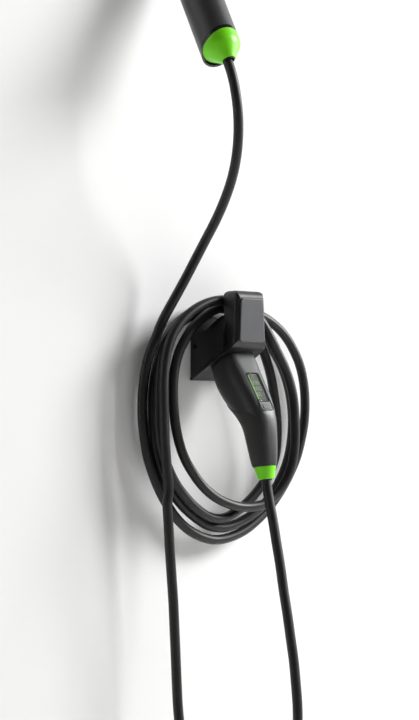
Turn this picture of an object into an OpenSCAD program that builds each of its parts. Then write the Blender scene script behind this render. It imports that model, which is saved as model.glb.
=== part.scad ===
// Wall holster for an electric vehicle charging cable, with its connector docked, the cable
// coiled on the saddle and the supply plug on the cable's other end.
// +Z is up, the wall is the plane y = 0 and the object stands out of it towards -Y.
// The origin is the centre of the four wall screws, on the back face of the wall plate.

/* [Holster] */
// Width of the holster body across its side walls
body_w = 66; // [64:1:84]
// Height of the saddle's centre line above the origin
saddle_z = 20; // [18:1:26]
// Distance from the wall to the front end of the saddle
saddle_depth = 66; // [62:1:70]
// Wall thickness of the moulded holster body
body_wall = 3; // [2:0.5:4]
// Slope of the docking face, measured from horizontal
dock_tilt = 28; // [26:1:30]
// Height of the docking face where it meets the wall
dock_low_z = -38; // [-42:1:-36]
// Thickness of the sloping front plate
front_t = 4; // [3:0.5:5]
// Distance from the wall to the front of the end stop
cap_front = 86; // [82:1:94]
// Height of the end stop's top above the origin
cap_top = 80; // [78:1:92]
// Width of the end stop at its top
cap_w_top = 45; // [44:1:54]
// Width of the end stop at its lower edge
cap_w_low = 54; // [50:1:60]

/* [Wall plate] */
// Thickness of the wall plate
plate_t = 3; // [2:0.5:5]
// Distance between the wall screw holes, sideways
hole_x = 40; // [30:1:44]
// Distance between the wall screw holes, upwards
hole_z = 44; // [36:1:46]
// Diameter of the wall screw holes
hole_d = 5; // [4:0.5:6]

/* [Connectors] */
// Outer diameter of the nose that goes into a socket
nose_d = 52; // [48:0.5:53]
// Length of the nose beyond its flange
nose_len = 32; // [28:1:33]
// Wall thickness of the nose
nose_wall = 3.5; // [3:0.5:4]
// Wall thickness of the handle shells
shell_wall = 2.5; // [2:0.25:3]
// Gap between the nose and the docking sleeve around it
dock_gap = 0.7; // [0.4:0.1:1]

/* [Display] */
// Length of the display window
window_l = 46; // [40:1:48]
// Width of the display window
window_w = 20; // [16:1:22]
// Thickness of the cover that holds the display
cover_t = 2; // [1.5:0.25:2.5]
// Travel of the push button
button_travel = 1; // [0.6:0.1:1.2]

/* [Cable] */
// Outer diameter of the cable
cable_d = 13; // [11:0.5:14]

/* [Hidden] */
$fn = 64;

fit = 0.1;              // small clearance between parts that seat in each other
far = 200;              // longer than any cut needs
half_w = body_w / 2;
tan_t = tan(dock_tilt);
front_rise = front_t / cos(dock_tilt);
dock_out = 47.5;        // from the wall to the docking axis, on the docking face
dock_z = dock_low_z + dock_out * tan_t;
crest_z = saddle_z + half_w;

// ---- shared helpers ----------------------------------------------------------------
// An outline drawn as [distance from wall, height], pushed out sideways about x = 0
module side_on(w, outline) {
    rotate([90, 0, -90]) translate([0, 0, -w / 2]) linear_extrude(w) polygon(outline);
}

// The frame of the docked connector: +Z runs into the holster, -Y faces up and outwards
module dock() { translate([0, -dock_out, dock_z]) rotate([-dock_tilt, 0, 0]) children(); }

function unit(v) = v / norm(v);
function mix(a, b, t) = a + (b - a) * t;

// Rings of points joined into one closed skin
module skin(rings) {
    n = len(rings[0]);
    m = len(rings);
    polyhedron(
        points = [for (ring = rings) for (p = ring) p],
        faces = concat(
            [[for (k = [0:n - 1]) k]],
            [for (i = [0:m - 2]) for (k = [0:n - 1])
                [i * n + k, (i + 1) * n + k, (i + 1) * n + (k + 1) % n, i * n + (k + 1) % n]],
            [[for (k = [n - 1:-1:0]) (m - 1) * n + k]]),
        convexity = 6);
}

// A tube swept along route points given as [sideways, distance from wall, height]
module tube(route, d, across, sides = 10) {
    pts = [for (p = route) [p[0], -p[1], p[2]]];
    last = len(pts) - 1;
    skin([for (i = [0:last])
        let (t = unit(pts[min(i + 1, last)] - pts[max(i - 1, 0)]),
             u = unit(cross(t, across)),
             v = cross(t, u))
        [for (k = [0:sides - 1]) let (a = 360 * k / sides)
            pts[i] + d / 2 * (cos(a) * u + sin(a) * v)]]);
}

// ---- holster -----------------------------------------------------------------------
// An upright box with a half-round top, standing out from the wall
module arch(r, from, to) {
    translate([0, -from, 0]) rotate([90, 0, 0]) linear_extrude(to - from) union() {
        translate([0, saddle_z]) circle(r = r);
        translate([-r, -far / 2]) square([2 * r, far / 2 + saddle_z]);
    }
}

// The outside of the holster body: a box under a half-round saddle
module body_envelope(shrink = 0, back = 0) {
    low = dock_low_z + front_rise + shrink / cos(dock_tilt);
    end = saddle_depth - shrink;
    intersection() {
        arch(half_w - shrink, back, end);
        side_on(body_w, [[back, low + back * tan_t], [back, far], [end, far],
            [end, low + end * tan_t]]);
    }
}

plate_r = half_w - body_wall - 3 * fit;
plate_low = dock_low_z + front_rise + body_wall / cos(dock_tilt) + plate_t * tan_t + fit;
ear_depth = 14;
ear_t = 3;
side_screw_z = 8;
side_screw_out = 9;
screw_d = 3;

module wall_plate() {
    color("dimgray") difference() {
        union() {
            intersection() {
                arch(plate_r, 0, plate_t);
                translate([-far / 2, -plate_t, plate_low]) cube([far, plate_t, far]);
            }
            for (side = [-1, 1]) translate([side * (plate_r - ear_t / 2), 0, side_screw_z])
                translate([-ear_t / 2, -ear_depth, -6]) cube([ear_t, ear_depth, 12]);
        }
        for (x = [-hole_x / 2, hole_x / 2], z = [-hole_z / 2, hole_z / 2])
            translate([x, 1, z]) rotate([90, 0, 0]) cylinder(d = hole_d, h = plate_t + 2);
        translate([-far / 2, -side_screw_out, side_screw_z]) rotate([0, 90, 0])
            cylinder(d = screw_d, h = far);
    }
}

sleeve_r = nose_d / 2 + dock_gap;
sleeve_wall = 2.7;
flange_r = sleeve_r + sleeve_wall + 1.6;
flange_sink = 0.5;
module holster_body() {
    color("#26272a") difference() {
        body_envelope();
        body_envelope(body_wall, -1);
        dock() translate([0, 0, front_t - 1]) cylinder(r = flange_r + fit, h = far / 4);
        translate([-far / 2, -side_screw_out, side_screw_z]) rotate([0, 90, 0])
            cylinder(d = screw_d + 2 * fit, h = far);
        for (x = front_screw_x) translate([x, -saddle_depth + body_wall + 1, front_screw_z])
            rotate([90, 0, 0]) cylinder(d = screw_d, h = body_wall + 2);
    }
}

front_screw_x = [-12, 12];
front_screw_z = 38;
cap_wall = 4;
cavity_w = 36;
cavity_low = 22;
cavity_top = cap_top - 14;
lip_back = 57;          // the end stop's rear lip, which keeps the cable on the saddle
module front_outline() {
    slope_end = cap_front - 12;
    side_on(body_w + 12, [[0, dock_low_z], [slope_end, dock_low_z + slope_end * tan_t],
        [cap_front - 5, dock_low_z + slope_end * tan_t + 3], [cap_front, 12],
        [cap_front, cap_top - 8], [cap_front - 3, cap_top - 2], [cap_front - 8, cap_top],
        [lip_back + 8, cap_top], [lip_back, cap_top - 5], [lip_back + 1, cap_top - 14],
        [saddle_depth - 3, saddle_z + 10], [saddle_depth - 3, dock_low_z + front_rise
            + (saddle_depth - 3) * tan_t], [0, dock_low_z + front_rise]]);
}

// The same piece seen from the front, narrower towards its top
module front_taper() {
    low = body_w / 2 + 1;
    rotate([90, 0, 0]) linear_extrude(far) polygon([[-low, dock_low_z - 1], [low, dock_low_z - 1],
        [low - 3, 0], [cap_w_low / 2, 10], [cap_w_top / 2 + 1, cap_top - 8],
        [cap_w_top / 2 - 2, cap_top - 2], [cap_w_top / 2 - 6, cap_top + 1],
        [-cap_w_top / 2 + 6, cap_top + 1], [-cap_w_top / 2 + 2, cap_top - 2],
        [-cap_w_top / 2 - 1, cap_top - 8], [-cap_w_low / 2, 10], [-low + 3, 0]]);
}

module holster_front() {
    color("#2c2d30") difference() {
        intersection() { front_outline(); front_taper(); }
        body_envelope();
        dock() translate([0, 0, -far / 4]) cylinder(r = sleeve_r + sleeve_wall + fit, h = far / 2);
        dock() translate([0, 0, front_t - flange_sink]) cylinder(r = flange_r + fit,
            h = body_wall + fit);
        translate([-cavity_w / 2, -far, cavity_low])
            cube([cavity_w, far - saddle_depth - cap_wall, cavity_top - cavity_low]);
        for (x = front_screw_x) translate([x, 0, front_screw_z]) rotate([90, 0, 0])
            cylinder(d = screw_d + 2 * fit, h = far);
    }
}

panel_t = 2;
module end_stop_panel() {
    low_w = cap_w_low - 8;
    top_w = cap_w_top - 6;
    color("#6a6b6e") union() {
        translate([0, -cap_front, 0]) rotate([90, 0, 0]) linear_extrude(panel_t)
            polygon([[-low_w / 2 + 3, 13], [low_w / 2 - 3, 13], [low_w / 2, 16],
                [top_w / 2, cap_top - 12], [top_w / 2 - 4, cap_top - 8],
                [-top_w / 2 + 4, cap_top - 8], [-top_w / 2, cap_top - 12], [-low_w / 2, 16]]);
        for (x = [-cavity_w / 2 + fit, cavity_w / 2 - fit - 2], z = [cavity_low + 4, cavity_top - 12])
            translate([x, -cap_front, z]) cube([2, 9, 8]);
    }
}

grip_ring_t = 1.3;
grip_ring_z = 18;
grip_ring_h = 4;
module dock_sleeve() {
    top = nose_len + 2;
    color("#1c1d1f") dock() difference() {
        union() {
            cylinder(r = sleeve_r + sleeve_wall, h = top + 2);
            translate([0, 0, front_t - flange_sink]) cylinder(r = flange_r, h = body_wall);
        }
        translate([0, 0, -1]) cylinder(r = sleeve_r, h = top + 1);
        translate([0, 0, grip_ring_z]) cylinder(r = sleeve_r + grip_ring_t, h = grip_ring_h);
        translate([0, 0, -1]) cylinder(r = 3, h = far / 4);
    }
}

module dock_grip_ring() {
    color("black") dock() translate([0, 0, grip_ring_z]) difference() {
        cylinder(r = sleeve_r + grip_ring_t, h = grip_ring_h);
        translate([0, 0, -1]) cylinder(r = nose_d / 2 + 2 * fit, h = grip_ring_h + 2);
    }
}

// A pan head screw along +Z, its head's underside at z = 0
module pan_screw(d, len) {
    cylinder(d = 2 * d, h = 0.6 * d);
    translate([0, 0, -len]) cylinder(d = d, h = len);
}

module front_screws() {
    color("silver") for (x = front_screw_x)
        translate([x, -saddle_depth - cap_wall, front_screw_z]) rotate([90, 0, 0])
            pan_screw(screw_d, cap_wall + body_wall + 3);
}

module side_screws() {
    color("silver") for (side = [-1, 1])
        translate([side * half_w, -side_screw_out, side_screw_z]) rotate([0, side * 90, 0])
            pan_screw(screw_d, body_wall + ear_t);
}

// ---- docked connector --------------------------------------------------------------
// Centres of the handle's cross sections: distance from wall, height, half width, half
// depth, tilt from vertical
flange_gap = 1;         // between the docking face and the handle shells
end_out = 112;          // the handle's lower end: distance from wall, height, radius, tilt
end_z = -151;
end_r = 14.6;
end_tilt = 8.5;
handle_path = [[dock_out + flange_gap * sin(dock_tilt), dock_z - flange_gap * cos(dock_tilt),
        27.5, 27.5, dock_tilt], [54, -25, 28.5, 28.5, 28],
    [62.5, -40, 28.5, 28.5, 30], [75, -56, 27, 27.5, 34], [88.5, -71, 24, 25, 36],
    [98, -86, 21.3, 23, 26], [103.5, -102, 19.5, 20.5, 15], [107, -120, 18, 18.5, 9],
    [110, -137, 16.2, 16.5, 8.5], [end_out, end_z, end_r, end_r, end_tilt]];
section_power = 2.5;    // 2 is round, more is squarer

function bow(c) = sign(c) * pow(abs(c), 2 / section_power);
function section(s, grow, sides) = [for (k = [0:sides - 1])
    let (a = 360 * k / sides, x = (s[2] + grow) * bow(cos(a)), e = (s[3] + grow) * bow(sin(a)))
    [x, -s[0] - e * cos(s[4]), s[1] + e * sin(s[4])]];

// The stations, with the two end ones moved outwards along the handle by reach
function reached(path, reach) = [for (i = [0:len(path) - 1])
    let (s = path[i], go = i == 0 ? -reach : i == len(path) - 1 ? reach : 0)
    [s[0] + go * sin(s[4]), s[1] - go * cos(s[4]), s[2], s[3], s[4]]];

// The flat facet on the handle's front, which carries the display
facet_tilt = 33.7;
facet_top = [71, -4.6];
module facet() {
    translate([0, -facet_top[0], facet_top[1]]) rotate([-facet_tilt, 0, 0]) children();
}
// In the facet's frame +X is sideways, -Z runs down the facet and -Y points out of it
module beyond_facet(depth) {
    facet() translate([-far / 2, -far - depth, -far]) cube([far, far, 2 * far]);
}

module handle_solid(grow = 0, reach = 0, lift = 0) {
    difference() {
        skin([for (s = reached(handle_path, reach)) section(s, grow, 28)]);
        beyond_facet(lift);
    }
}

window_mid = 51;        // down the facet from its top edge to the window's middle
button_mid = window_mid + window_l / 2 + 7;
button_w = 12;
button_h = 7;
module facet_cut(w, l, mid, from, to) {
    facet() translate([-w / 2, -to, -mid - l / 2]) cube([w, to - from, l]);
}

module handle_half(side) {
    color("#303134") difference() {
        handle_solid();
        handle_solid(-shell_wall, 2, -cover_t - shell_wall);
        beyond_facet(-cover_t);
        dock() translate([0, 0, -seat_len - 2 * fit]) cylinder(r = seat_r + fit, h = far);
        translate([side > 0 ? -far : 0, -far, -far]) cube([far, 2 * far, 2 * far]);
        facet_cut(window_w + 2, window_l + 2, window_mid, -20, 1);
        facet_cut(button_w - 3, button_h - 2, button_mid, -20, 1);
        shell_screw_holes(screw_d);
    }
}
module handle_shell_left() { handle_half(-1); }
module handle_shell_right() { handle_half(1); }

shell_screw_at = [[92, -92], [100, -124]];
module shell_screw_holes(d) {
    for (p = shell_screw_at) translate([-far / 2, -p[0], p[1]]) rotate([0, 90, 0])
        cylinder(d = d, h = far);
}
module shell_screws() {
    color("silver") intersection() {
        shell_screw_holes(screw_d);
        handle_solid();
    }
}

grip_t = 1.2;
module grip_overmould() {
    color("#3a3a38") difference() {
        handle_solid(grip_t, -4, 10);
        handle_solid(0, 5, 10);
        translate([-far / 2, -far, -70]) cube([far, 2 * far, far]);
        translate([-far / 2, -far - 106, -far]) cube([far, far, 2 * far]);
    }
}

module display_cover() {
    color("#4a4b4e") difference() {
        handle_solid();
        facet() translate([-far / 2, cover_t, -far]) cube([far, far, 2 * far]);
        facet_cut(window_w, window_l, window_mid, -20, 1);
        facet_cut(button_w + 4 * fit, button_h + 4 * fit, button_mid, -20, 1);
    }
}

lens_t = 1.5;
module display_lens() {
    color("#9aa39a") facet_cut(window_w - 2 * fit, window_l - 2 * fit, window_mid,
        -cover_t, -cover_t + lens_t);
}

gasket_t = 0.8;
module display_gasket() {
    color("black") difference() {
        facet_cut(window_w + 2 - 2 * fit, window_l + 2 - 2 * fit, window_mid,
            -cover_t - gasket_t, -cover_t);
        facet_cut(window_w - 3, window_l - 3, window_mid, -20, 1);
    }
}

module_t = 2.4;
module display_module() {
    color("#b9d8b0") facet_cut(window_w, window_l, window_mid,
        -cover_t - gasket_t - module_t, -cover_t - gasket_t);
}

board_t = 1.6;
board_top = -cover_t - shell_wall - 2;
module display_board() {
    low = button_mid + button_h / 2;
    high = window_mid - window_l / 2;
    color("green") facet_cut(window_w, low - high, (low + high) / 2, board_top - board_t, board_top);
}

button_under = -cover_t + button_travel + 2 * fit;
module push_button() {
    color("#3c3d40") union() {
        facet_cut(button_w, button_h, button_mid, button_under, fit);
        facet_cut(button_w - 4, button_h - 3, button_mid, board_top + 1.6 + button_travel,
            button_under);
    }
}

module button_switch() {
    color("black") facet_cut(5, 4, button_mid, board_top, board_top + 1.5);
}

// Where the contacts stand, with -Y on the display side
power_at = [[0, 0], [-12.5, 0], [12.5, 0], [-7, 11], [7, 11]];
pilot_at = [[-8, -10], [8, -10]];
power_d = 7;
pilot_d = 4.6;
nose_in = nose_d / 2 - nose_wall;
seat_r = nose_in - 0.5;
seat_in = seat_r - 2.5;
seat_len = 9;

// The nose of a connector, from its seat on the shells
module nose() {
    difference() {
        union() {
            translate([0, 0, -flange_gap]) cylinder(d = nose_d, h = nose_len + flange_gap);
            translate([0, 0, -seat_len]) cylinder(r = seat_r, h = seat_len);
        }
        translate([0, 0, -seat_len - 1]) cylinder(r = seat_in, h = far);
        cylinder(r = nose_in, h = far);
        translate([-far / 2, -far - nose_in - 1, flange_gap]) cube([far, far, far]);
    }
}

// The insulating block that holds the contacts in the nose
module carrier(top, r_top) {
    difference() {
        union() {
            translate([0, 0, 2 - seat_len]) cylinder(r = seat_in - fit / 2, h = seat_len - 2);
            cylinder(r = nose_in - fit / 2, h = 2);
            cylinder(r = r_top, h = top);
        }
        for (p = power_at) translate([p[0], p[1], -8]) cylinder(d = power_d, h = far);
        for (p = pilot_at) translate([p[0], p[1], -8]) cylinder(d = pilot_d, h = far);
    }
}

// Contact sleeves, or pins where bore is nothing
module contacts(places, d, bore, top) {
    for (p = places) translate([p[0], p[1], 0]) difference() {
        translate([0, 0, -12]) cylinder(d = d, h = top + 12);
        if (bore > 0) translate([0, 0, 4]) cylinder(d = bore, h = top);
    }
}

module connector_nose() { color("#1b1c1e") dock() nose(); }
module contact_carrier() { color("#202124") dock() carrier(nose_len - 3, nose_in - 2); }
module power_contacts() { color("silver") dock() contacts(power_at, power_d, 5.6, nose_len - 5); }
module pilot_contacts() { color("silver") dock() contacts(pilot_at, pilot_d, 3.2, nose_len - 8); }

module gasket_ring() {
    translate([0, 0, -flange_gap]) difference() {
        cylinder(d = nose_d + 2, h = 0.7);
        translate([0, 0, -1]) cylinder(d = nose_d, h = 3);
    }
}
module nose_gasket() { color("black") dock() gasket_ring(); }

// The frame at the handle's end: +Z points out along the cable
module handle_end() {
    translate([0, -end_out, end_z]) rotate([180 - end_tilt, 0, 0]) children();
}
collar_len = 16.5;
cable_bore = cable_d + 2 * fit;
relief_r = cable_d / 2 + 1.7;
module handle_collar() {
    color("#6be000") handle_end() difference() {
        union() {
            cylinder(r1 = end_r, r2 = 10.3, h = collar_len);
            translate([0, 0, -6]) cylinder(r = end_r - shell_wall - 1, h = 6);
        }
        translate([0, 0, -7]) cylinder(r = relief_r, h = far);
    }
}
// A tapered rubber sleeve round the cable, wider where it is held
module relief(from, to) {
    difference() {
        union() {
            translate([0, 0, from]) cylinder(r = relief_r, h = to - from - 3);
            translate([0, 0, to - 3]) cylinder(r1 = relief_r, r2 = cable_d / 2 + 0.8, h = 3);
            translate([0, 0, from]) cylinder(r = relief_r + 1.8, h = 4);
        }
        translate([0, 0, from - 1]) cylinder(d = cable_bore, h = far);
    }
}
module strain_relief() { color("#141415") handle_end() relief(-12, collar_len + 1.5); }

// A saddle clamp under the cable and a bar over it
clamp_l = 8;
clamp_screw_x = cable_d / 2 + 2.2;
clamp_flat = 8;         // from the cable's centre to the flat that the screw heads sit on
module clamp(r) {
    difference() {
        cylinder(r = r, h = clamp_l);
        translate([0, 0, -1]) cylinder(d = cable_bore, h = clamp_l + 2);
        translate([-far / 2, -far - clamp_flat, -1]) cube([far, far, far]);
        for (x = [-1, 1]) translate([x * clamp_screw_x, -far / 2, clamp_l / 2])
            rotate([-90, 0, 0]) cylinder(d = 2, h = far / 2 + 6);
    }
}
module clamp_screw_pair() {
    for (x = [-1, 1]) translate([x * clamp_screw_x, -clamp_flat, clamp_l / 2])
        rotate([90, 0, 0]) pan_screw(2, 14);
}
clamp_r = 13.4;
module cable_clamp() { color("#8a8c90") handle_end() translate([0, 0, -22]) clamp(clamp_r); }
module clamp_screws() { color("silver") handle_end() translate([0, 0, -22]) clamp_screw_pair(); }

// ---- supply plug -------------------------------------------------------------------
plug_at = [-77, -52, 503];
plug_tilt = 28;
module plug() { translate(plug_at) rotate([-plug_tilt, 0, 0]) children(); }
barrel_r = 27;
barrel_low = 142;       // from the nose's seat to where the end cone starts, at the back
cone_front = 119;       // the same distance at the front
plug_len = 155;
cone_start = 134;       // where the end cone leaves the round barrel
mouth_offset = -6;

module barrel(shrink, top, low) {
    translate([0, 0, -low]) cylinder(r = barrel_r - shrink, h = low - top);
}
// Everything below the sloping joint between the barrel and its end cone
module below_joint() {
    joint_slope = atan((barrel_low - cone_front) / (2 * barrel_r));
    translate([0, -barrel_r, -cone_front]) rotate([-joint_slope, 0, 0])
        translate([-far / 2, -far / 2, -far]) cube([far, far, far]);
}
module plug_half(side) {
    color("#303134") plug() difference() {
        barrel(0, flange_gap, barrel_low);
        barrel(shell_wall, 0, far);
        below_joint();
        translate([side > 0 ? -far : 0, -far, -far]) cube([far, 2 * far, 2 * far]);
        plug_screw_holes(screw_d);
    }
}
module plug_shell_left() { plug_half(-1); }
module plug_shell_right() { plug_half(1); }
plug_screw_at = [[14, -30], [14, -95]];
module plug_screw_holes(d) {
    for (p = plug_screw_at) translate([-far / 2, p[0], p[1]]) rotate([0, 90, 0])
        cylinder(d = d, h = far);
}
module plug_shell_screws() {
    color("silver") plug() intersection() {
        plug_screw_holes(screw_d);
        barrel(0, 0, far);
    }
}
module end_hull(shrink) {
    hull() {
        translate([0, 0, shrink - cone_start]) cylinder(r = barrel_r - shrink, h = 30);
        translate([0, mouth_offset, -plug_len + 3 * shrink]) cylinder(r = 9, h = 1);
    }
}
module plug_end_cone() {
    color("#6be000") plug() difference() {
        intersection() { end_hull(0); below_joint(); }
        end_hull(shell_wall);
        translate([0, mouth_offset, -plug_len - 1]) cylinder(r = relief_r, h = far);
    }
}
module plug_nose() { color("#1b1c1e") plug() nose(); }
module plug_pin_carrier() { color("#202124") plug() carrier(6, nose_in - fit / 2); }
module plug_power_pins() { color("silver") plug() contacts(power_at, power_d, 0, nose_len - 4); }
module plug_pilot_pins() { color("silver") plug() contacts(pilot_at, pilot_d, 0, nose_len - 8); }
module plug_gasket() { color("black") plug() gasket_ring(); }

// The frame at the plug's cable mouth: +Z points out along the cable
module plug_end() { plug() translate([0, mouth_offset, -plug_len]) rotate([180, 0, 0]) children(); }
module plug_strain_relief() { color("#141415") plug_end() relief(-42, 1.5); }
plug_clamp_r = barrel_r - shell_wall + mouth_offset - 2 * fit;
module plug_clamp() { color("#8a8c90") plug_end() translate([0, 0, -56]) clamp(plug_clamp_r); }
module plug_clamp_screws() { color("silver") plug_end() translate([0, 0, -56]) clamp_screw_pair(); }

// ---- cable -------------------------------------------------------------------------
// Points on the axes of the two ends that the cable is held in, s mm along the cable
function handle_axis(s) = [0, end_out + s * sin(end_tilt), end_z - s * cos(end_tilt)];
function plug_axis(s) = [plug_at[0],
    -plug_at[1] - mouth_offset * cos(plug_tilt) + (plug_len + s) * sin(plug_tilt),
    plug_at[2] - mouth_offset * sin(plug_tilt) - (plug_len + s) * cos(plug_tilt)];

// Route points: sideways, distance from wall, height
lower_route = [handle_axis(-24), handle_axis(19), [1, 118, -190], [4, 123, -220],
    [6, 128, -250], [8, 133, -280], [9, 138, -310], [10, 144, -340], [11, 149, -370],
    [12, 154, -400], [12, 158, -430], [12, 161, -460], [10, 162, -490], [4, 159, -518],
    [-8, 151, -543], [-26, 137, -561], [-46, 119, -569], [-66, 99, -564], [-82, 80, -548],
    [-91, 66, -524], [-95, 57, -496], [-96, 52, -466], [-97, 50, -430], [-98, 49, -395],
    [-100, 49, -360], [-102, 49, -325], [-105, 49, -290], [-108, 49, -255], [-110, 49, -225],
    [-112, 49, -196]];
upper_route = [plug_axis(-58), plug_axis(2), [-76, 137, 345], [-72, 139, 321],
    [-67, 137, 296], [-61, 129, 262], [-56, 115, 229], [-54, 97, 198], [-56, 79, 169],
    [-62, 62, 140], [-71, 50, 112], [-82, 42, 86], [-94, 35, 61], [-106, 29, 36],
    [-115, 26, 12]];
across = [0.65, 0.76, 0];

// The coil fills the space between two ovals, and rests on the saddle's crest
coil_back = 7;
coil_front = 55;
coil_mid = [11, -93];
coil_half = [146, 169];
coil_rest = 0.3;
hole_low = -193;
hole_half_w = 82;
function oval(mid, half, sides = 60) = [for (k = [0:sides - 1]) let (a = 360 * k / sides)
    [mid[0] + half[0] * cos(a), mid[1] + half[1] * sin(a)]];

module cable_lower() { color("#1a1a1b") tube(lower_route, cable_d, across); }
module cable_upper() { color("#1a1a1b") tube(upper_route, cable_d, across); }
module cable_coil() {
    hole_top = crest_z + coil_rest;
    color("#1a1a1b") translate([0, -coil_back, 0]) rotate([90, 0, 0])
        linear_extrude(coil_front - coil_back) difference() {
            polygon(oval(coil_mid, coil_half));
            polygon(oval([0, (hole_top + hole_low) / 2], [hole_half_w, (hole_top - hole_low) / 2]));
        }
}

wall_plate();
holster_body();
holster_front();
end_stop_panel();
dock_sleeve();
dock_grip_ring();
front_screws();
side_screws();
handle_shell_left();
handle_shell_right();
grip_overmould();
display_cover();
display_lens();
display_gasket();
display_module();
display_board();
push_button();
button_switch();
connector_nose();
contact_carrier();
power_contacts();
pilot_contacts();
nose_gasket();
handle_collar();
strain_relief();
cable_clamp();
clamp_screws();
shell_screws();
plug_shell_left();
plug_shell_right();
plug_end_cone();
plug_nose();
plug_pin_carrier();
plug_power_pins();
plug_pilot_pins();
plug_gasket();
plug_strain_relief();
plug_clamp();
plug_clamp_screws();
plug_shell_screws();
cable_lower();
cable_coil();
cable_upper();
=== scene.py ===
"""A wall holster with its docked charging connector, the coiled cable and the supply plug.

Everything is in metres in the CAD frame: +Z is up, the wall is the plane y = 0 and the
object stands out of it towards -Y. Shape lists are in millimetres and go through MM.
"""

import logging
import math
from dataclasses import dataclass, field
from enum import Enum
from typing import Any, Iterable, Sequence

import bmesh
import bpy
import numpy as np
from mathutils import Matrix, Vector


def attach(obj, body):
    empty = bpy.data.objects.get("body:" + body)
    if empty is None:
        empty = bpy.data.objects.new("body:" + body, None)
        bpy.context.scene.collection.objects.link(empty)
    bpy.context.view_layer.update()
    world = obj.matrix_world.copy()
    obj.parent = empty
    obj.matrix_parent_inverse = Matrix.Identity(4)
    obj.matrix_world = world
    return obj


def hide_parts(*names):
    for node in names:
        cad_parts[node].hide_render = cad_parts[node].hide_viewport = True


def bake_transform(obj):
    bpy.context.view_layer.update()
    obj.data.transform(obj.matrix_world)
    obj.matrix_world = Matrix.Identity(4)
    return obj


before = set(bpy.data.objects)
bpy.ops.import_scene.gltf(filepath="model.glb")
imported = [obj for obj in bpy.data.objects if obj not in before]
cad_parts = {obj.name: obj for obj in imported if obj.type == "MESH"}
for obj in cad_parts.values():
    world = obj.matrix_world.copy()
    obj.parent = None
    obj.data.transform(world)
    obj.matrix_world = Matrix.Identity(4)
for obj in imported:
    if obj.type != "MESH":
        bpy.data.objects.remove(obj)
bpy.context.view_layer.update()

MM = 0.001
FAR = 300.0  # past the end of every piece, in millimetres
AXIS_RADIUS = 1e-3  # what a radius of 0 becomes in a lathe's profile, in millimetres
CABLE_BORE = 8.2  # the radius of the hole that a cable's end passes through, in millimetres
BEVEL_STRIPS = 3
LOG = logging.getLogger("holster")
Point = tuple[float, float, float]
Shape = tuple[np.ndarray, list[tuple[int, ...]]]


class Body(str, Enum):
    """The bodies that a piece can ride on."""

    HOLSTER = "holster"
    CONNECTOR = "connector"
    BUTTON = "button"


class Side(Enum):
    """The two halves of a split shell, and the sign of x on each."""

    LEFT = -1
    RIGHT = 1


class Cut(str, Enum):
    """What a boolean keeps."""

    REMOVE = "DIFFERENCE"
    KEEP = "INTERSECT"
    ADD = "UNION"


# ---- finishes --------------------------------------------------------------------------


def linear(hex_colour: str, alpha: float = 1.0) -> tuple[float, float, float, float]:
    """Turn an sRGB hex colour into linear light.

    Args:
        hex_colour: Six hex digits with a leading hash.
        alpha: The fourth channel.

    Returns:
        Red, green, blue and alpha.
    """
    parts = [int(hex_colour[i : i + 2], 16) / 255 for i in (1, 3, 5)]
    red, green, blue = (c / 12.92 if c <= 0.04045 else ((c + 0.055) / 1.055) ** 2.4 for c in parts)
    return red, green, blue, alpha


def add_node(
    tree: bpy.types.NodeTree,
    kind: str,
    inputs: dict[Any, Any] | None = None,
    **settings: Any,
) -> bpy.types.Node:
    """Add one node with its settings, values and links.

    Args:
        tree: The tree it goes into.
        kind: The node's type name.
        inputs: Socket name or number, to a value or to the socket that feeds it.
        **settings: Attributes set before the inputs.

    Returns:
        The new node.
    """
    node = tree.nodes.new(kind)
    for name, value in settings.items():
        setattr(node, name, value)
    for key, value in (inputs or {}).items():
        if isinstance(value, bpy.types.NodeSocket):
            tree.links.new(value, node.inputs[key])
        else:
            node.inputs[key].default_value = value
    return node


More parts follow.
